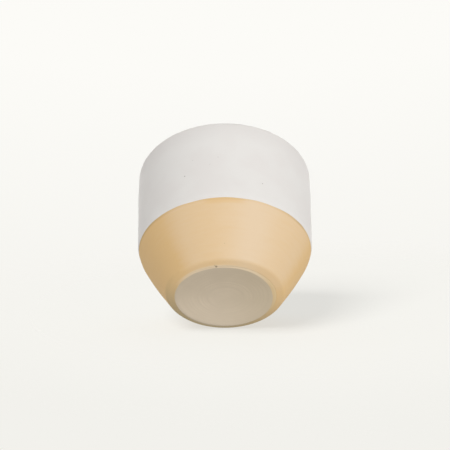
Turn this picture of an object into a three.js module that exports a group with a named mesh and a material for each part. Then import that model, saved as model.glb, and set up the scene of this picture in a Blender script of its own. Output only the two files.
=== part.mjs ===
// A handleless stoneware mug in two tones: a thrown and turned clay body, a yellow slip on its tapered
// lower half, a white glaze on its upper wall and lip, and a liner glaze inside.
// Millimetres, +Z up. The origin is the middle of the flat foot, on the table that the mug stands on.

import * as THREE from "three";

// The clay body: a flat foot, a turned bevel, a taper that swells out to the shoulder, and a wall that
// flares a little.
const FOOT_RADIUS = 23.9;
const FOOT_EDGE_FILLET = 0.8;
const BEVEL_WIDTH = 4.1;
const BEVEL_HEIGHT = 1.75;
const BEVEL_FILLET = 4;
const SWELL_RADIUS = 36.5;
const SWELL_HEIGHT = 15.2;
const SWELL_FILLET = 140;
const SHOULDER_RADIUS = 42.7;
const SHOULDER_HEIGHT = 27.2;
const SHOULDER_FILLET = 11;
const RIM_RADIUS = 43.5;
const RIM_HEIGHT = 74.25;
const LIP_FILLET = 1.6;

// The hollow inside the clay.
const WALL = 3.5;
const FLOOR = 6;
const INNER_SHOULDER_FILLET = 26;
const FLOOR_FILLET = 13;

// The coats that are fired onto the clay, and the hair's breadth that keeps each a solid of its own.
const GLAZE_COAT = 0.7;
const SLIP_COAT = 0.5;
const SEAM = 0.05;

// The height of the line where the white glaze meets the slip, and the strip of bevel wiped clean of slip.
const GLAZE_LINE = 27.2;
const WIPED_STRIP = 0.6;

// How finely the round forms are divided: steps in a full turn, and how far an arc may bow off its chords.
const TURN_STEPS = 60;
const ARC_BOW = 0.05;

// A corner of an outline, at a radius from the mug's axis and a height, rounded by a fillet. The angle of
// one step of the fillet's arc stays with it when the outline is moved, so that parallel arcs have parallel
// chords.
function corner(radius, height, fillet = 0) {
  const arc_step = 2 * Math.acos(Math.max(0, 1 - ARC_BOW / fillet));
  return { at: new THREE.Vector2(radius, height), fillet, arc_step };
}

// The direction from one corner to the next.
function heading(from, to) {
  return to.at.clone().sub(from.at).normalize();
}

// The side of a heading that faces away from the clay: every outline runs with the clay on its left.
function outward(direction) {
  return new THREE.Vector2(direction.y, -direction.x);
}

// The headings into and out of a corner, which are the same at either end of an outline, and the angle
// between them.
function bend(corners, i) {
  const first = Math.max(i, 1);
  const last = Math.min(i, corners.length - 2);
  const before = heading(corners[first - 1], corners[first]);
  const after = heading(corners[last], corners[last + 1]);
  return { before, after, turn: Math.atan2(before.cross(after), before.dot(after)) };
}

// The outline with each fillet held to the walls beside it: two fillets share the wall between them.
function fitted(corners) {
  const room = (here, neighbour) => here.at.distanceTo(neighbour.at) / (neighbour.fillet > 0 ? 2 : 1);
  return corners.map((here, i) => {
    if (here.fillet <= 0) {
      return here;
    }
    const longest_setback = Math.min(room(here, corners[i - 1]), room(here, corners[i + 1]));
    const widest = longest_setback / Math.tan(Math.abs(bend(corners, i).turn) / 2);
    return { ...here, fillet: Math.min(here.fillet, widest) };
  });
}

// The outline moved bodily away from the clay. Fillets grow on the corners that stick out and shrink in
// hollows.
function moved(corners, distance) {
  return corners.map((here, i) => {
    const { before, after, turn } = bend(corners, i);
    const mitre = outward(before).add(outward(after)).normalize();
    const reach = distance / mitre.dot(outward(before));
    const at = here.at.clone().addScaledVector(mitre, reach);
    const fillet = here.fillet > 0 ? here.fillet + Math.sign(turn) * distance : 0;
    return { ...here, at, fillet };
  });
}

// The outline as points, with each filleted corner drawn as an arc.
function rounded(corners) {
  return corners.flatMap((here, i) => {
    if (here.fillet <= 0) {
      return [here.at.clone()];
    }
    const { before, turn } = bend(corners, i);
    const setback = here.fillet * Math.tan(Math.abs(turn) / 2);
    const start = here.at.clone().addScaledVector(before, -setback);
    const centre = start.clone().addScaledVector(outward(before), -Math.sign(turn) * here.fillet);
    const steps = Math.ceil(Math.abs(turn) / here.arc_step);
    const point = (k) => start.clone().rotateAround(centre, (turn * k) / steps);
    return Array.from({ length: steps + 1 }, (_, k) => point(k));
  });
}

// The stretch of a rising outline above or below a height, cut level there.
function above(points, height) {
  const first = points.findIndex((point) => point.y > height);
  return [crossing(points[first - 1], points[first], height), ...points.slice(first)];
}

function below(points, height) {
  const end = points.findIndex((point) => point.y > height);
  return [...points.slice(0, end), crossing(points[end - 1], points[end], height)];
}

function crossing(low, high, height) {
  return low.clone().lerp(high, (height - low.y) / (high.y - low.y));
}

// The outside of the clay, from the middle of the foot up to the crown of the lip.
const foot_edge = corner(FOOT_RADIUS, 0, FOOT_EDGE_FILLET);
const bevel_edge = corner(FOOT_RADIUS + BEVEL_WIDTH, BEVEL_HEIGHT, BEVEL_FILLET);
const swell = corner(SWELL_RADIUS, SWELL_HEIGHT, SWELL_FILLET);
const shoulder = corner(SHOULDER_RADIUS, SHOULDER_HEIGHT, SHOULDER_FILLET);
const rim = corner(RIM_RADIUS, RIM_HEIGHT, LIP_FILLET);
const crown = corner(RIM_RADIUS - WALL / 2, RIM_HEIGHT);
const outside = fitted([corner(0, 0), foot_edge, bevel_edge, swell, shoulder, rim, crown]);

// The inside of the clay, from the crown of the lip down to the middle of the floor: a wall's thickness in
// from the outside, and straight from the shoulder to where the taper meets the floor.
const [, , inner_bevel, inner_swell, inner_shoulder, inner_rim] = moved(outside, -WALL);
const inner_lip = crossing(inner_shoulder.at, inner_rim.at, RIM_HEIGHT);
const floor_edge = crossing(inner_bevel.at, inner_swell.at, FLOOR);
const inside = fitted([
  crown,
  corner(inner_lip.x, RIM_HEIGHT, LIP_FILLET),
  corner(inner_shoulder.at.x, inner_shoulder.at.y, INNER_SHOULDER_FILLET),
  corner(floor_edge.x, FLOOR, FLOOR_FILLET),
  corner(0, FLOOR),
]);

// The white glaze covers the outside from the glaze line to the crown, where it meets the liner.
const outside_to_seam = [...outside.slice(0, -1), corner(crown.at.x + SEAM / 2, RIM_HEIGHT)];
const white_back = above(rounded(moved(outside_to_seam, SEAM)), GLAZE_LINE);
const white_face = above(rounded(moved(outside_to_seam, SEAM + GLAZE_COAT)), GLAZE_LINE);

// The liner covers the inside from the crown down over the floor.
const inside_from_seam = [corner(crown.at.x - SEAM / 2, RIM_HEIGHT), ...inside.slice(1)];
const liner_back = rounded(moved(inside_from_seam, SEAM));
const liner_face = rounded(moved(inside_from_seam, SEAM + GLAZE_COAT));

// The slip covers the taper from just under the glaze line and thins out to nothing on the bevel, where the
// foot is wiped clean.
const [, foot_back, bevel_back, ...upper_back] = moved(outside, SEAM);
const [, , bevel_face, ...upper_face] = moved(outside, SEAM + SLIP_COAT);
const wiped = heading(foot_back, bevel_back).multiplyScalar(WIPED_STRIP).add(foot_back.at);
const slip_start = corner(wiped.x, wiped.y);
const slip_top = GLAZE_LINE - SEAM;
const slip_back = below(rounded([slip_start, bevel_back, ...upper_back]), slip_top);
const slip_face = below(rounded(fitted([slip_start, bevel_face, ...upper_face])), slip_top);

// A closed outline turned about the mug's axis. An outline with both ends on the axis closes by itself.
function turned(outline) {
  return new THREE.LatheGeometry(outline, TURN_STEPS).rotateX(Math.PI / 2);
}

function coat(back, face) {
  return turned([...face, ...back.toReversed(), face[0]]);
}

function piece(name, geometry, color, roughness) {
  const material = new THREE.MeshStandardMaterial({ color, roughness, metalness: 0 });
  const mesh = new THREE.Mesh(geometry, material);
  mesh.name = name;
  return mesh;
}

const mug = new THREE.Group();
mug.name = "mug";
mug.add(
  piece("clay_body", turned([...rounded(outside), ...rounded(inside).slice(1)]), 0xbaab94, 0.9),
  piece("white_glaze", coat(white_back, white_face), 0xe7e3e0, 0.45),
  piece("liner_glaze", turned([...liner_back.toReversed(), ...liner_face]), 0xe7e3e0, 0.4),
  piece("yellow_slip", coat(slip_back, slip_face.slice(1)), 0xe5c9a2, 0.8),
);

export default mug;
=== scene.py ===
import math
from typing import NamedTuple

import bmesh
import bpy
from mathutils import Euler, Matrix, Quaternion, Vector, noise


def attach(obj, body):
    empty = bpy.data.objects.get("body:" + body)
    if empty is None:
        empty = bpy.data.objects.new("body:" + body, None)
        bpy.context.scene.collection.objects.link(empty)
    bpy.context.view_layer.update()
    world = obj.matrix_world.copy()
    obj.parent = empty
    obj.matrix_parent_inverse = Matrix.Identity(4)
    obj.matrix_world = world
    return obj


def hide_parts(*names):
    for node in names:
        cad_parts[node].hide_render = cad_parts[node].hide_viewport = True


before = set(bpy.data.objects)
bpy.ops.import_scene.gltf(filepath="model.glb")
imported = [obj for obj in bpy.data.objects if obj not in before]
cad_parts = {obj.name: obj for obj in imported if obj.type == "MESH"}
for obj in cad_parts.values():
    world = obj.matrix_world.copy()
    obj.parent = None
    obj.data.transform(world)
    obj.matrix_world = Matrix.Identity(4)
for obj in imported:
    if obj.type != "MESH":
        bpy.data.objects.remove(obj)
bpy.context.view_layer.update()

# The clay body
# A pot of grey-beige stoneware, thrown on a wheel and turned upside down once it was leather-hard. The clay
# shows on the foot alone, where the turning tool left fine rings. The coats are fired onto the rest.
MM = 0.001
FOOT_RADIUS = 23.9 * MM
FOOT_EDGE_FILLET = 0.8 * MM
BEVEL_WIDTH = 4.1 * MM
BEVEL_HEIGHT = 1.75 * MM
BEVEL_FILLET = 2 * MM
SWELL_RADIUS = 36.5 * MM
SWELL_HEIGHT = 15.2 * MM
SWELL_FILLET = 140 * MM
SHOULDER_RADIUS = 42.7 * MM
SHOULDER_HEIGHT = 27.2 * MM
SHOULDER_FILLET = 11 * MM
RIM_RADIUS = 43.5 * MM
RIM_HEIGHT = 74.25 * MM
LIP_FILLET = 1.6 * MM
WALL = 3.5 * MM
FLOOR = 6 * MM
INNER_SHOULDER_FILLET = 26 * MM
FLOOR_FILLET = 13 * MM

TURN_STEPS = 216
FOOT_GRAIN = 0.3 * MM
HIDDEN_GRAIN = 3 * MM
WELD = 0.001 * MM
RING_DEPTH = 0.05 * MM
RING_WIDTH = 1.7 * MM
RING_FADE = 3 * RING_WIDTH
WORN_PATCH = 9 * MM


class Corner(NamedTuple):
    """A corner of an outline, at a radius from the mug's axis and a height, rounded by a fillet."""
    at: Vector
    fillet: float = 0


def bend(outline, i):
    """The headings into and out of a corner, and how far the outline turns to the left there."""
    first = max(i, 1)
    last = min(i, len(outline) - 2)
    before = (outline[first].at - outline[first - 1].at).normalized()
    after = (outline[last + 1].at - outline[last].at).normalized()
    return before, after, math.atan2(before.cross(after), before.dot(after))


def moved(outline, distance):
    """The outline moved out to its right, away from the clay. Fillets grow on corners that stick out."""
    result = []
    for i, corner in enumerate(outline):
        before, after, turn = bend(outline, i)
        mitre = (before.orthogonal() + after.orthogonal()).normalized() * -1
        reach = distance / -mitre.dot(before.orthogonal())
        fillet = corner.fillet + math.copysign(distance, turn) if corner.fillet else 0
        result.append(Corner(corner.at + mitre * reach, fillet))
    return result


def crossing(low, high, height):
    """The point at a height on the line between two points."""
    return low.lerp(high, (height - low.y) / (high.y - low.y))


def begin(name, corner):
    """Starts a piece as one point at a corner, in edit mode."""
    bpy.ops.object.select_all(action="DESELECT")
    bpy.ops.mesh.primitive_plane_add(size=MM)
    bpy.context.object.name = name
    bpy.ops.object.mode_set(mode="EDIT")
    bpy.ops.mesh.select_all(action="SELECT")
    bpy.ops.mesh.merge(type="CENTER")
    bpy.ops.transform.translate(value=(corner.at.x, 0, corner.at.y))
    return bpy.context.object


def draw(outline, grain):
    """Draws an outline on from the selected point, which stands at its first corner. Straight runs are
    extruded in steps of about the grain, and fillets are spun about their centres."""
    here = outline[0].at
    for i, corner in list(enumerate(outline))[1:]:
        before, after, turn = bend(outline, i)
        setback = corner.fillet * math.tan(abs(turn) / 2)
        run = corner.at - before * setback - here
        steps = max(1, round(run.length / grain))
        for _ in range(steps):
            step = run / steps
            bpy.ops.mesh.extrude_region_move(TRANSFORM_OT_translate={"value": (step.x, 0, step.y)})
        here = corner.at + after * setback
        if corner.fillet:
            centre = corner.at - before * setback + before.orthogonal() * math.copysign(corner.fillet, turn)
            steps = math.ceil(corner.fillet * abs(turn) / grain)
            bpy.ops.mesh.spin(steps=steps, angle=turn, center=(centre.x, 0, centre.y), axis=(0, 1, 0))


def turn_on_wheel():
    """Turns the drawn outline about the mug's axis, closes the seam and the poles, and leaves edit mode."""
    bpy.ops.mesh.select_all(action="SELECT")
    bpy.ops.mesh.spin(steps=TURN_STEPS, angle=2 * math.pi, center=(0, 0, 0), axis=(0, 0, 1))
    bpy.ops.mesh.select_all(action="SELECT")
    bpy.ops.mesh.remove_doubles(threshold=WELD)
    bpy.ops.mesh.normals_make_consistent(inside=False)
    bpy.ops.object.mode_set(mode="OBJECT")
    bpy.ops.object.shade_smooth()


def weigh(piece, modifier, weight):
    """Gives a modifier a weight between 0 and 1 at each point of a piece, and applies it."""
    group = piece.vertex_groups.new(name="weight")
    for vertex in piece.data.vertices:
        group.add([vertex.index], weight(vertex), "REPLACE")
    modifier.vertex_group = group.name
    bpy.ops.object.modifier_apply(modifier=modifier.name)
    piece.vertex_groups.clear()


def press(piece, depth, weight, direction="NORMAL"):
    """Moves each point of a piece by a depth times its weight."""
    modifier = piece.modifiers.new("press", "DISPLACE")
    modifier.direction = direction
    modifier.mid_level = 0
    modifier.strength = depth
    weigh(piece, modifier, weight)


def uneven(*place):
    """Smooth noise at a place, from 0 to 1, that rises and falls about once in two units."""
    return 0.5 + 0.5 * noise.noise(Vector(place))


foot_middle = Corner(Vector((0, 0)))
foot_edge = Corner(Vector((FOOT_RADIUS, 0)), FOOT_EDGE_FILLET)
bevel_edge = Corner(Vector((FOOT_RADIUS + BEVEL_WIDTH, BEVEL_HEIGHT)), BEVEL_FILLET)
swell = Corner(Vector((SWELL_RADIUS, SWELL_HEIGHT)), SWELL_FILLET)
shoulder = Corner(Vector((SHOULDER_RADIUS, SHOULDER_HEIGHT)), SHOULDER_FILLET)
rim = Corner(Vector((RIM_RADIUS, RIM_HEIGHT)), LIP_FILLET)
crown = Corner(Vector((RIM_RADIUS - WALL / 2, RIM_HEIGHT)))
outside = [foot_middle, foot_edge, bevel_edge, swell, shoulder, rim]
bevel_inside, swell_inside, shoulder_inside, rim_inside, _ = moved(outside + [crown], -WALL)[2:]
inner_lip = Corner(crossing(shoulder_inside.at, rim_inside.at, RIM_HEIGHT), LIP_FILLET)
inner_shoulder = Corner(shoulder_inside.at, INNER_SHOULDER_FILLET)
floor_edge = Corner(crossing(bevel_inside.at, swell_inside.at, FLOOR), FLOOR_FILLET)
floor_middle = Corner(Vector((0, FLOOR)))
pot = outside + [inner_lip, inner_shoulder, floor_edge, floor_middle]

clay_body = begin("thrown_pot", foot_middle)
foot_run = Corner(Vector((FOOT_RADIUS - 2 * FOOT_EDGE_FILLET, 0)))
draw([foot_middle, foot_run], FOOT_GRAIN)
draw([foot_run] + pot[1:], HIDDEN_GRAIN)
turn_on_wheel()


def foot_rings(vertex):
    """How deep the turning tool bit into the flat foot: broken rings that fade towards its edge."""
    radius = vertex.co.xy.length
    from_edge = FOOT_RADIUS - FOOT_EDGE_FILLET - radius
    if vertex.co.z > RING_DEPTH or from_edge < 0:
        return 0
    ring = uneven(radius / RING_WIDTH * 2, 0, 0)
    worn = uneven(*vertex.co / WORN_PATCH)
    return ring * worn * min(1, from_edge / RING_FADE)


press(clay_body, -RING_DEPTH, foot_rings)


def srgb(red, green, blue):
    """A colour as it is seen, from 0 to 255, as the linear colour that a shader takes."""
    channels = [value / 255 for value in (red, green, blue)]
    return [c / 12.92 if c <= 0.04045 else ((c + 0.055) / 1.055) ** 2.4 for c in channels] + [1]


class Wire:
    """A shader's output socket. Sums on it add the Math nodes that work them out."""

    def __init__(self, tree, socket=None):
        self.tree = tree
        self.socket = socket

    def node(self, kind, settings, sockets, output=0):
        """Adds a node of any kind. Its settings are set first, then the values or links of its sockets."""
        made = self.tree.nodes.new(kind)
        for name, value in settings.items():
            setattr(made, name, value)
        for name, value in sockets.items():
            if isinstance(value, Wire):
                self.tree.links.new(value.socket, made.inputs[name])
            else:
                made.inputs[name].default_value = value
        return Wire(self.tree, made.outputs[output])

    def math(self, operation, first, second=0.0):
        """Works out one sum on values or numbers."""
        return self.node("ShaderNodeMath", {"operation": operation}, {0: first, 1: second})

    def __add__(self, other):
        return self.math("ADD", self, other)

    def __radd__(self, other):
        return self.math("ADD", other, self)

    def __sub__(self, other):
        return self.math("SUBTRACT", self, other)

    def __rsub__(self, other):
        return self.math("SUBTRACT", other, self)

    def __mul__(self, other):
        return self.math("MULTIPLY", self, other)

    def __rmul__(self, other):
        return self.math("MULTIPLY", other, self)

    def __truediv__(self, other):
        return self.math("DIVIDE", self, other)

    def __rtruediv__(self, other):
        return self.math("DIVIDE", other, self)

    def __pow__(self, power):
        return self.math("POWER", self, power)

    def __rpow__(self, base):
        return self.math("POWER", base, self)

    def most(self, other):
        """The greater of this value and another."""
        return self.math("MAXIMUM", self, other)

    def rise(self, low, high):
        """Goes smoothly from 0 to 1 as this value goes from low to high."""
        settings = {"interpolation_type": "SMOOTHSTEP"}
        return self.node("ShaderNodeMapRange", settings, {"Value": self, "From Min": low, "From Max": high})

    def fall(self, low, high):
        """Goes smoothly from 1 to 0 as this value goes from low to high."""
        return 1 - self.rise(low, high)

    def tint(self, low, high):
        """A colour that goes from low to high as this value goes from 0 to 1."""
        return self.node("ShaderNodeMix", {"data_type": "RGBA"}, {0: self, 6: low, 7: high}, 2)

    def along(self, axis):
        """How far this place lies along X, Y or Z."""
        return self.node("ShaderNodeSeparateXYZ", {}, {"Vector": self}, axis)

    def stretched(self, level, up):
        """This place with its scale changed on the level and up the mug."""
        return self.node("ShaderNodeMapping", {}, {"Vector": self, "Scale": (level, level, up)})

    def clouds(self, size, detail):
        """Soft noise at this place, from 0 to 1, with blotches of about a size."""
        sockets = {"Vector": self, "Scale": 1 / size, "Detail": detail}
        return self.node("ShaderNodeTexNoise", {}, sockets)

    def distance(self, point):
        """How far this place is from a point."""
        return self.node("ShaderNodeVectorMath", {"operation": "DISTANCE"}, {0: self, 1: point}, "Value")

    def feed(self, shader, name):
        """Links this value to a shader's socket."""
        self.tree.links.new(self.socket, shader.inputs[name])


def new_finish(piece, name):
    """Gives a piece a new material, and returns its shader and the place on the piece."""
    material = bpy.data.materials.new(name)
    material.use_nodes = True
    piece.data.materials.clear()
    piece.data.materials.append(material)
    place = Wire(material.node_tree).node("ShaderNodeTexCoord", {}, {}, "Object")
    return material.node_tree.nodes["Principled BSDF"], place


def on_level(place):
    """How far a place lies along X and Y, and its radius from the mug's axis."""
    x = place.along("X")
    y = place.along("Y")
    return x, y, (x * x + y * y) ** 0.5


def relief(coarse, fine, coarse_share, depth):
    """A shallow relief of a depth, mixed from two patterns, as a surface direction for the shader."""
    height = coarse * coarse_share + fine * (1 - coarse_share)
    return height.node("ShaderNodeBump", {}, {"Height": height, "Distance": depth, "Strength": 1.0})


def towards(x, y, radius, around):
    """How far a place faces an angle round the mug from the camera's side: 1 faces it and 0 is side on."""
    return (x * math.sin(around) - y * math.cos(around)) / radius


def sponged(x, y, blotches):
    """How far out a place is on the patch that a sponge wiped clean of slip: 1 is its edge, which wavers.
    The patch is a little off the mug's middle, so slip was left on one side of the foot and wiped off the
    bevel on the other."""
    across = (x - SPONGED_MIDDLE.x) / SPONGED_HALF_WIDTH
    along = (y - SPONGED_MIDDLE.y) / SPONGED_HALF_LENGTH
    return (across * across + along * along) ** 0.5 + (blotches - 0.5) * SPONGED_WAVER


def washed(x, y, radius, reach):
    """Where the sponge left a thin wash of slip along its patch's edge, on the camera's side."""
    return towards(x, y, radius, 0).rise(*WASHED_ROUND) * reach.fall(*WASHED_OUT)


def painted_far_shade(x, y, radius):
    """Where the thin slip by the foot is painted darker on the far side, as painted shade."""
    return towards(x, y, radius, FAR_SHADE_SIDE).rise(*FAR_SHADE_ROUND)


def spots(place, marks):
    """Small round marks of a radius on a piece, each with its own strength, as one mask."""
    mask = 0.0
    for point, radius, strength in marks:
        mark = strength - strength * place.distance(point).rise(SPOT_CORE * radius, radius)
        mask = mark.most(mask)
    return mask


CLAY_DARK = srgb(194, 178, 154)
CLAY_PALE = srgb(223, 206, 181)
CLAY_TONES = (0.2, 0.8)
CLAY_STAINED = srgb(188, 170, 136)
STAIN_SHARE = 0.35
STAIN_RISE = (-8 * MM, FOOT_RADIUS)
CLAY_ROUGHNESS = 0.85
CLAY_SHINE = 0.2
CLAY_RELIEF = 0.08 * MM
CLAY_RING_RELIEF = 0.5
CLAY_BLOTCH = 14 * MM
CLAY_BLOTCH_TONE = 0.2
GROG_SIZE = 0.35 * MM
GROG_TONE = 0.12
# FAR_SIDE_PAINTED_LIGHT: painted light, the foot is paler towards its far side.
FAR_SIDE_PAINTED_LIGHT = 0.3
RING_TONE = 0.4
RING_TONE_RISE = (2 * MM, 10 * MM)
RING_TONE_FADE = (18 * MM, FOOT_RADIUS)
RING_TONE_WORN = (0.35, 0.65)
RING_WAVER = 1.2 * MM
RING_WAVER_SIZE = 20 * MM
SPONGED_MIDDLE = Vector((-0.8, 0.9)) * MM
SPONGED_HALF_WIDTH = 23.8 * MM
SPONGED_HALF_LENGTH = 24.9 * MM
SPONGED_WAVER = 0.03
SPONGED_EDGE = (0.985, 1.01)
SLIP_FILM = srgb(222, 194, 148)
SLIP_WASH = srgb(229, 207, 174)
WASHED_ROUND = (0.3, 0.8)
WASHED_OUT = (1.02, 1.08)
# The far-shade values paint shade on the thin slip by the foot, on the far side.
SLIP_FAR_SHADE = srgb(180, 160, 121)
FAR_SHADE_SIDE = math.radians(200)
FAR_SHADE_ROUND = (-0.5, 1.0)
CHIP_BROWN = srgb(112, 88, 60)
CHIP = [
    ((-4.9 * MM, -25.0 * MM, 0.6 * MM), 0.5 * MM, 0.25),
    ((-4.2 * MM, -24.4 * MM, 0.4 * MM), 0.8 * MM, 0.6),
]
SPOT_CORE = 0.4

shader, place = new_finish(clay_body, "bare_stoneware")
x, y, radius = on_level(place)
ring_waver = place.clouds(RING_WAVER_SIZE, detail=2.0) * RING_WAVER
rings = place.node("ShaderNodeTexNoise", {"noise_dimensions": "1D"},
                   {"W": radius + ring_waver, "Scale": 1 / RING_WIDTH, "Detail": 3.0})
blotches = place.clouds(CLAY_BLOTCH, detail=3.0)
grog = place.clouds(GROG_SIZE, detail=1.0)
ringed = radius.rise(*RING_TONE_RISE) * radius.fall(*RING_TONE_FADE)
worn_rings = 0.5 + (rings - 0.5) * blotches.rise(*RING_TONE_WORN) * ringed
tone = RING_TONE * worn_rings + CLAY_BLOTCH_TONE * blotches + GROG_TONE * grog
# Painted light: the foot is paler towards its far side.
tone = tone + FAR_SIDE_PAINTED_LIGHT * y.rise(-FOOT_RADIUS, FOOT_RADIUS)
clay_colour = tone.rise(*CLAY_TONES).tint(CLAY_DARK, CLAY_PALE)
clay_colour = (STAIN_SHARE * x.rise(*STAIN_RISE)).tint(clay_colour, CLAY_STAINED)
reach = sponged(x, y, blotches)
# Painted shade: the film of slip is darker on the far side.
film_colour = painted_far_shade(x, y, radius).tint(SLIP_FILM, SLIP_FAR_SHADE)
film_colour = washed(x, y, radius, reach).tint(film_colour, SLIP_WASH)
clay_colour = reach.rise(*SPONGED_EDGE).tint(clay_colour, film_colour)
spots(place, CHIP).tint(clay_colour, CHIP_BROWN).feed(shader, "Base Color")
relief(worn_rings, grog, CLAY_RING_RELIEF, CLAY_RELIEF).feed(shader, "Normal")
shader.inputs["Roughness"].default_value = CLAY_ROUGHNESS
shader.inputs["Specular IOR Level"].default_value = CLAY_SHINE

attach(clay_body, "root")
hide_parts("clay_body")

# The yellow slip
# A coat of coloured clay brushed onto the tapered half while the pot turned on the wheel, and fired matt.
# It runs up to the white glaze and was wiped off the foot, where it thins to nothing on the soft bevel.
SEAM = 0.05 * MM
SLIP_COAT = 0.5 * MM
SLIP_GRAIN = 0.6 * MM
GLAZE_LINE = 27.2 * MM
WIPED_STRIP = 0.6 * MM
WAVE = 1.1 * MM
WAVE_REACH = 3 * MM
WAVE_BUSYNESS = 4.4
WAVE_START = 1.8
LOWEST_LINE = GLAZE_LINE - WAVE / 2
STREAK_DEPTH = 0.06 * MM
STREAK_WIDTH = 1.3 * MM
STREAK_DRIFT = 0.5


def cut_level(height, **side):
    """Cuts the drawn outline level at a height and clears one side of the cut."""
    bpy.ops.mesh.select_all(action="SELECT")
    bpy.ops.mesh.bisect(plane_co=(0, 0, height), plane_no=(0, 0, 1), **side)


def keep_heights(piece, name):
    """Writes down how high each point stands, so that a finish follows the glaze line once it is pushed."""
    heights = piece.data.attributes.new(name, "FLOAT", "POINT")
    heights.data.foreach_set("value", [vertex.co.z for vertex in piece.data.vertices])


def glaze_wave(vertex):
    """How far up the hand-dipped glaze line is pushed round the mug, for the points near it."""
    nearness = 1 - min(1, abs(vertex.co.z - LOWEST_LINE) / WAVE_REACH)
    return nearness * uneven(*vertex.co.xy.normalized() * WAVE_BUSYNESS, WAVE_START)


def brush_streaks(vertex):
    """How far the bands that the brush left on the turning pot stand out."""
    return uneven(*vertex.co.xy.normalized() * STREAK_DRIFT, vertex.co.z / STREAK_WIDTH * 2)


def give_thickness(piece, thickness, share):
    """Makes a solid coat of a turned sheet, inwards from its face. The share makes it thinner in places."""
    modifier = piece.modifiers.new("coat", "SOLIDIFY")
    modifier.thickness = thickness
    modifier.offset = -1
    weigh(piece, modifier, share)


bevel_heading = (bevel_edge.at - foot_edge.at).normalized()
slip_start = Corner(foot_edge.at + bevel_heading * WIPED_STRIP)
yellow_slip = begin("slip_coat", slip_start)
draw([slip_start] + moved(outside, SEAM + SLIP_COAT)[2:], SLIP_GRAIN)
cut_level(LOWEST_LINE, clear_outer=True)
turn_on_wheel()
keep_heights(yellow_slip, "drawn_height")
press(yellow_slip, WAVE, glaze_wave, "Z")
press(yellow_slip, -STREAK_DEPTH, brush_streaks)
give_thickness(yellow_slip, SLIP_COAT, lambda vertex: min(1, vertex.co.z / BEVEL_HEIGHT))

# SLIP_PALE_AND_SHEEN: the pale end of the random mottle, and a painted sheen where the key lamp shines.
SLIP_YELLOW = srgb(226, 190, 136)
SLIP_PALE_AND_SHEEN = srgb(230, 205, 172)
# The sheen values paint a highlight on the side a little right of the camera, weaker on the bevel.
BROAD_SHEEN_SIDE = math.radians(18)
BROAD_SHEEN_ROUND = (0.38, 0.7)
BROAD_SHEEN_SHARE = 0.55
NARROW_SHEEN_SIDE = math.radians(22)
SHEEN_NARROWNESS = 20
SHEEN_ON_BEVEL = 0.6
SHEEN_RISE = (1 * MM, 2.4 * MM)
# FAR_SHADE_FADE: the painted shade on the far side fades out above the bevel.
FAR_SHADE_FADE = (1 * MM, 3.5 * MM)
# SLIP_AMBER_AND_SHADE: an amber patch in front, and a strip painted as shade under the glaze's edge.
SLIP_AMBER_AND_SHADE = srgb(224, 184, 120)
AMBER_SHADE_SHARE = 0.15
AMBER_SHADE_FADE = (0.2 * MM, 1.6 * MM)
POOL_SHARE = 0.38
POOL_ROUND = (0.96, 0.995)
POOL_FADE = (1.4 * MM, 2.8 * MM)
# SLIP_EDGE_SHADE: a thin, broken line painted as shade under the glaze's edge, weaker in front.
SLIP_EDGE_SHADE = srgb(178, 146, 102)
EDGE_SHADE_SHARE = 0.4
EDGE_SHADE_IN_FRONT = 0.07
EDGE_ROUND = (0.45, 0.85)
EDGE_FADE = (0.5 * MM, 1.3 * MM)
EDGE_BROKEN = (0.35, 0.6)
EDGE_LEAST = 0.2
SLIP_ROUGHNESS = 0.7
SLIP_ROUGHNESS_SPREAD = 0.2
SLIP_SHINE = 0.15
SLIP_RELIEF = 0.06 * MM
SLIP_STREAK_RELIEF = 0.6
SLIP_BLOTCH = 18 * MM
SLIP_BLOTCH_TONE = 0.25
GRIT_SIZE = 0.4 * MM
STREAK_STRETCH = 0.12
STREAK_TONE = 0.3
PINHOLES = [((-0.2 * MM, -32.4 * MM, 7.9 * MM), 0.3 * MM, 0.3)]

shader, place = new_finish(yellow_slip, "matt_yellow_slip")
x, y, radius = on_level(place)
z = place.along("Z")
streaks = place.stretched(STREAK_STRETCH, 1).clouds(STREAK_WIDTH, detail=3.0)
blotches = place.clouds(SLIP_BLOTCH, detail=3.0)
grit = place.clouds(GRIT_SIZE, detail=1.0)
mottle = STREAK_TONE * (streaks - 0.5) + SLIP_BLOTCH_TONE * (blotches - 0.5)
in_front = towards(x, y, radius, 0)

# Painted sheen: a broad and a narrow paler band where the key lamp's highlight falls.
broad_sheen = towards(x, y, radius, BROAD_SHEEN_SIDE).rise(*BROAD_SHEEN_ROUND)
narrow_sheen = towards(x, y, radius, NARROW_SHEEN_SIDE).most(0.0) ** SHEEN_NARROWNESS
above_bevel = SHEEN_ON_BEVEL + (1 - SHEEN_ON_BEVEL) * z.rise(*SHEEN_RISE)
painted_sheen = (BROAD_SHEEN_SHARE * broad_sheen + (1 - BROAD_SHEEN_SHARE) * narrow_sheen) * above_bevel
slip_colour = (painted_sheen + mottle).tint(SLIP_YELLOW, SLIP_PALE_AND_SHEEN)
# Painted shade: the slip by the foot is darker on the far side, fading out above the bevel.
slip_colour = (painted_far_shade(x, y, radius) * z.fall(*FAR_SHADE_FADE)).tint(slip_colour, SLIP_FAR_SHADE)

drawn_height = place.node("ShaderNodeAttribute", {"attribute_name": "drawn_height"}, {}, "Fac")
under_line = LOWEST_LINE - drawn_height
pool = in_front.rise(*POOL_ROUND) * under_line.fall(*POOL_FADE)
# The strip all round is painted shade under the glaze's edge; the pool is an amber patch in front.
amber_and_shade = AMBER_SHADE_SHARE * under_line.fall(*AMBER_SHADE_FADE) + POOL_SHARE * pool
slip_colour = amber_and_shade.tint(slip_colour, SLIP_AMBER_AND_SHADE)
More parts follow.
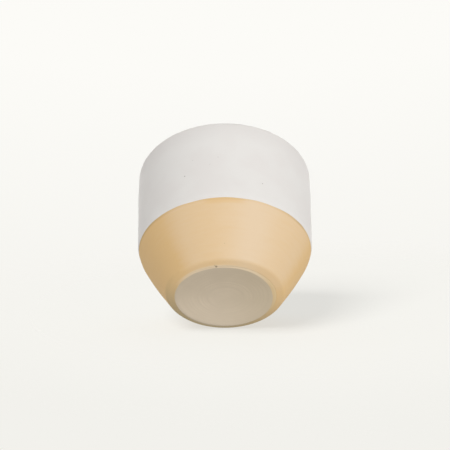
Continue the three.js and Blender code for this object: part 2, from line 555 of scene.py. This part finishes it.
# Painted shade: a thin, broken dark line just under the glaze's edge, weaker in front.
edge = under_line.fall(*EDGE_FADE) * (EDGE_LEAST + blotches.rise(*EDGE_BROKEN))
edge_shade_share = EDGE_SHADE_SHARE - (EDGE_SHADE_SHARE - EDGE_SHADE_IN_FRONT) * in_front.rise(*EDGE_ROUND)
slip_colour = (edge_shade_share * edge).tint(slip_colour, SLIP_EDGE_SHADE)

reach = sponged(x, y, blotches)
slip_colour = washed(x, y, radius, reach).tint(slip_colour, SLIP_WASH)
slip_colour = reach.rise(*SPONGED_EDGE).tint(CLAY_DARK, slip_colour)
spots(place, CHIP + PINHOLES).tint(slip_colour, CHIP_BROWN).feed(shader, "Base Color")
relief(streaks, grit, SLIP_STREAK_RELIEF, SLIP_RELIEF).feed(shader, "Normal")
(SLIP_ROUGHNESS + mottle * SLIP_ROUGHNESS_SPREAD).feed(shader, "Roughness")
shader.inputs["Specular IOR Level"].default_value = SLIP_SHINE

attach(yellow_slip, "root")
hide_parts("yellow_slip")

# The white glaze
# A satin white glaze over the upper wall, the lip and the whole inside: the pot was filled, emptied and
# then dipped upside down to the shoulder. It is one coat, which runs thin at its lower edge and laps the
# slip's top edge there.
GLAZE_COAT = 0.7 * MM
GLAZE_GRAIN = 1.0 * MM
GLAZE_LAP = 0.15 * MM
GLAZE_EDGE_FILLET = 0.1 * MM
GLAZE_EDGE_STEPS = 3
SHARP_EDGE = math.radians(60)
SMOOTH_EDGE = math.radians(50)
FACES_OUT = 0.1
THINNED = 0.2 * MM
THINNED_FROM = 39 * MM
THINNED_TO = 33 * MM
WALL_SWELL = 0.22 * MM
WALL_SWELL_MIDDLE = 60 * MM
WALL_SWELL_REACH = 14 * MM
THROWING_DEPTH = 0.16 * MM
THROWING_PITCH = 6.5 * MM
THROWING_TOP = RIM_HEIGHT - 6 * MM
THROWING_FADE = 12 * MM
THROWING_START = 8 * MM
MIDDLE_OF_WALL = 50 * MM


def pick(piece, wanted):
    """Selects the points of a piece that are wanted, and the edges between them."""
    bpy.ops.mesh.select_all(action="DESELECT")
    mesh = bmesh.from_edit_mesh(piece.data)
    for vertex in mesh.verts:
        vertex.select_set(wanted(vertex))
    mesh.select_flush(True)
    bmesh.update_edit_mesh(piece.data)


def is_outside(vertex):
    """Whether a point of the coat is on the outer wall, which faces away from the mug's axis."""
    return vertex.normal.xy.dot(vertex.co.xy.normalized()) > FACES_OUT


def thinning_glaze(vertex):
    """How far the glaze ran thin above its lower edge before it set."""
    way = (THINNED_FROM - vertex.co.z) / (THINNED_FROM - THINNED_TO)
    return min(1, max(0, way)) if is_outside(vertex) else 0


def wall_swell(vertex):
    """How far the thrown wall swells out below the lip."""
    way = min(1, abs(vertex.co.z - WALL_SWELL_MIDDLE) / WALL_SWELL_REACH)
    return 0.5 + 0.5 * math.cos(math.pi * way) if is_outside(vertex) else 0


def throwing_rings(vertex):
    """The spiral that the potter's fingers left inside, which dies out under the lip."""
    if is_outside(vertex):
        return 0
    radius = vertex.co.xy.length
    turns = (vertex.co.z + radius) / THROWING_PITCH
    groove = 0.5 + 0.5 * math.sin(2 * math.pi * turns + math.atan2(vertex.co.y, vertex.co.x))
    below_lip = min(1, max(0, (THROWING_TOP - vertex.co.z) / THROWING_FADE))
    return groove * below_lip * min(1, radius / THROWING_START)


glaze_face = moved(pot, SEAM + GLAZE_COAT)[3:]
wall_point = Corner(crossing(glaze_face[1].at, glaze_face[2].at, MIDDLE_OF_WALL))
white_glaze = begin("glaze_coat", glaze_face[0])
draw(glaze_face[:2] + [wall_point], GLAZE_GRAIN)
cut_level(LOWEST_LINE - GLAZE_LAP, clear_inner=True)
pick(white_glaze, lambda vertex: vertex.co.z > MIDDLE_OF_WALL - GLAZE_GRAIN / 2)
draw([wall_point] + glaze_face[2:], GLAZE_GRAIN)
turn_on_wheel()
press(white_glaze, WAVE, glaze_wave, "Z")
press(white_glaze, -THINNED, thinning_glaze)
press(white_glaze, WALL_SWELL, wall_swell)
press(white_glaze, -THROWING_DEPTH, throwing_rings)
give_thickness(white_glaze, GLAZE_COAT, lambda vertex: 1)
bpy.ops.object.mode_set(mode="EDIT")
bpy.ops.mesh.select_mode(type="EDGE")
bpy.ops.mesh.select_all(action="DESELECT")
bpy.ops.mesh.edges_select_sharp(sharpness=SHARP_EDGE)
bpy.ops.mesh.bevel(offset=GLAZE_EDGE_FILLET, segments=GLAZE_EDGE_STEPS)
bpy.ops.mesh.select_mode(type="VERT")
bpy.ops.object.mode_set(mode="OBJECT")
bpy.ops.object.shade_smooth_by_angle(angle=SMOOTH_EDGE)

GLAZE_WARM = srgb(230, 226, 222)
GLAZE_COOL = srgb(232, 229, 225)
GLAZE_TONES = (0.35, 0.65)
# GLAZE_LIP_SHADE: painted shade, greyer towards the lip, which turns away from the light.
GLAZE_LIP_SHADE = srgb(227, 223, 219)
LIP_SHADE_RISE = (60 * MM, RIM_HEIGHT)
GLAZE_ROUGHNESS = 0.55
GLAZE_ROUGHNESS_SPREAD = 0.12
GLAZE_SHINE = 0.15
GLAZE_RELIEF = 0.05 * MM
GLAZE_BLOTCH_RELIEF = 0.7
GLAZE_BLOTCH = 16 * MM
SKIN_SIZE = 1.1 * MM
SPECK_BROWN = srgb(120, 104, 88)
SPECK_RADIUS = 0.38 * MM

# Each speck has an angle round the mug in degrees, a height in millimetres and a strength. The loop spreads
# more of them round the sides and the back.
SPECKS = [(-25.8, 43.5, 0.7), (24.7, 38.1, 0.5), (-3.8, 51.7, 0.2), (-20.4, 52.0, 0.2), (-9.1, 47.6, 0.15)]
SPECKS += [(75 + 31 * i, 36 + 29 * i % 34, 0.5) for i in range(7)]

marks = []
for around, height, strength in SPECKS:
    spot = crossing(glaze_face[1].at, glaze_face[2].at, height * MM)
    turn = math.radians(around)
    marks.append(((spot.x * math.sin(turn), -spot.x * math.cos(turn), spot.y), SPECK_RADIUS, strength))

shader, place = new_finish(white_glaze, "satin_white_glaze")
blotches = place.clouds(GLAZE_BLOTCH, detail=3.0)
skin = place.clouds(SKIN_SIZE, detail=2.0)
glaze_colour = blotches.rise(*GLAZE_TONES).tint(GLAZE_WARM, GLAZE_COOL)
# Painted shade: the glaze is greyer towards the lip.
glaze_colour = place.along("Z").rise(*LIP_SHADE_RISE).tint(glaze_colour, GLAZE_LIP_SHADE)
spots(place, marks).tint(glaze_colour, SPECK_BROWN).feed(shader, "Base Color")
relief(blotches, skin, GLAZE_BLOTCH_RELIEF, GLAZE_RELIEF).feed(shader, "Normal")
(GLAZE_ROUGHNESS + (blotches - 0.5) * GLAZE_ROUGHNESS_SPREAD).feed(shader, "Roughness")
shader.inputs["Specular IOR Level"].default_value = GLAZE_SHINE

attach(white_glaze, "root")
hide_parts("white_glaze", "liner_glaze")

# The table and the card
# A pale table top that the mug stands on, and a pale card that leans behind it and takes its soft shadow.
# Each is a sheet with one face and soft edges: from under the table or behind the card, it isn't there.
TABLE_LEVEL = -0.1 * MM
TABLE_SIZE = 2.4
TABLE_SHADE = 0.45
TABLE_GLOW = 1.03
CARD_LEAN = math.radians(46.9)
CARD_PLACE = (50 * MM, 67.8 * MM, 43.6 * MM)
CARD_SIZE = 0.5
CARD_SHADE = 0.2
CARD_GLOW = 0.863
SHEET_COLOUR = srgb(245, 244, 239)
SHEET_SOLID = 0.2
SHEET_CLEAR = 0.48


def lay_sheet(name, size, lean, place, shade, glow):
    """Lays out a sheet that glows in its colour and takes a share of its shade from the lamps."""
    bpy.ops.object.select_all(action="DESELECT")
    bpy.ops.mesh.primitive_plane_add(size=size, location=place, rotation=(lean, 0, 0))
    bpy.ops.object.transform_apply(location=True, rotation=True, scale=True)
    sheet = bpy.context.object
    sheet.name = name
    sheet.visible_diffuse = False
    sheet.visible_shadow = False
    material = bpy.data.materials.new(name)
    material.use_nodes = True
    sheet.data.materials.append(material)
    tree = material.node_tree
    tree.nodes.remove(tree.nodes["Principled BSDF"])
    spot = Wire(tree).node("ShaderNodeTexCoord", {}, {}, "Object")
    lit = spot.node("ShaderNodeBsdfDiffuse", {}, {"Color": SHEET_COLOUR})
    own = spot.node("ShaderNodeEmission", {}, {"Color": SHEET_COLOUR, "Strength": glow})
    face = spot.node("ShaderNodeMixShader", {}, {0: shade, 1: own, 2: lit})
    behind = spot.node("ShaderNodeNewGeometry", {}, {}, "Backfacing")
    edge = spot.distance(place).rise(SHEET_SOLID * size, SHEET_CLEAR * size)
    clear = spot.node("ShaderNodeBsdfTransparent", {}, {})
    shown = spot.node("ShaderNodeMixShader", {}, {0: behind.most(edge), 1: face, 2: clear})
    shown.feed(tree.nodes["Material Output"], "Surface")
    return sheet


table = lay_sheet("table", TABLE_SIZE, 0, (0, 0, TABLE_LEVEL), TABLE_SHADE, TABLE_GLOW)
card = lay_sheet("card", CARD_SIZE, CARD_LEAN, CARD_PLACE, CARD_SHADE, CARD_GLOW)

# The light
# An even studio dome, a pale sweep that only the eye sees, and soft lamps on the mug: a key at the camera's
# right, a weak fill at its left and one behind, which lights the table too. One more lamp lights the table
# and the card alone, for the mug's shadow.
DOME_LEVEL = 0.6
SWEEP_LOW = srgb(242, 241, 236)
SWEEP_HIGH = srgb(252, 251, 247)
SWEEP_LOW_RISE = 0.509
SWEEP_HIGH_RISE = 0.72
SOFT_SPREAD = 45
SHADOW_SPREAD = 30

world = bpy.data.worlds.new("studio")
world.use_nodes = True
bpy.context.scene.world = world
heading = Wire(world.node_tree).node("ShaderNodeTexCoord", {}, {}, "Generated")
sockets = {"Value": heading.along("Z"), "From Min": SWEEP_LOW_RISE, "From Max": SWEEP_HIGH_RISE}
sweep = heading.node("ShaderNodeMapRange", {}, sockets).tint(SWEEP_LOW, SWEEP_HIGH)
seen = heading.node("ShaderNodeLightPath", {}, {}, "Is Camera Ray")
for ray in ("Is Glossy Ray", "Is Transmission Ray"):
    seen = seen + heading.node("ShaderNodeLightPath", {}, {}, ray)
dome = [DOME_LEVEL] * 3 + [1]
seen.tint(dome, sweep).feed(world.node_tree.nodes["Background"], "Color")


def hang_lamp(name, around, up, level, spread):
    """A soft far lamp that looks as wide as its spread, at an angle round the mug from the camera's side
    and an angle up, all in degrees. At level 1 alone it shows a colour that faces it as it is written."""
    turn = (math.pi / 2 - math.radians(up), 0, math.radians(around))
    bpy.ops.object.light_add(type="SUN", rotation=turn)
    lamp = bpy.context.object
    lamp.name = name
    lamp.data.energy = level * math.pi
    lamp.data.angle = math.radians(spread)
    return lamp


key_lamp = hang_lamp("key_lamp", around=30, up=-25, level=0.41, spread=SOFT_SPREAD)
fill_lamp = hang_lamp("fill_lamp", around=-40, up=10, level=0.085, spread=SOFT_SPREAD)
back_lamp = hang_lamp("back_lamp", around=180, up=55, level=0.35, spread=SOFT_SPREAD)
shadow_lamp = hang_lamp("shadow_lamp", around=-22.8, up=0, level=1.406, spread=SHADOW_SPREAD)


def shine_only_on(name, lamps, lit):
    """Keeps the light of some lamps to some objects."""
    group = bpy.data.collections.new(name)
    for thing in lit:
        group.objects.link(thing)
    for lamp in lamps:
        lamp.light_linking.receiver_collection = group


mug = [clay_body, yellow_slip, white_glaze]
shine_only_on("stage", [shadow_lamp], [table, card])
shine_only_on("mug", [key_lamp, fill_lamp], mug)
shine_only_on("mug_and_table", [back_lamp], mug + [table])

# The camera
# It looks up at the mug's foot from in front and from below the table, which isn't there on that side. A
# long lens keeps the mug's lines near parallel.
VIEW_MIDDLE = Vector((0.1 * MM, 0, 34.56 * MM))
VIEW_DISTANCE = 604.8 * MM
VIEW_RISE = math.radians(38.13)
VIEW_LIFT = math.radians(0.766)
VIEW_ROLL = math.radians(-0.54)
LENS = 96.555

bpy.ops.object.camera_add()
camera = bpy.context.object
camera.data.lens = LENS
camera.location = VIEW_MIDDLE - Vector((0, math.cos(VIEW_RISE), math.sin(VIEW_RISE))) * VIEW_DISTANCE
aim = Euler((math.pi / 2 + VIEW_RISE + VIEW_LIFT, 0, 0)).to_quaternion()
camera.rotation_euler = (aim @ Quaternion((0, 0, 1), VIEW_ROLL)).to_euler()
bpy.context.scene.camera = camera
bpy.context.scene.view_settings.view_transform = "Standard"
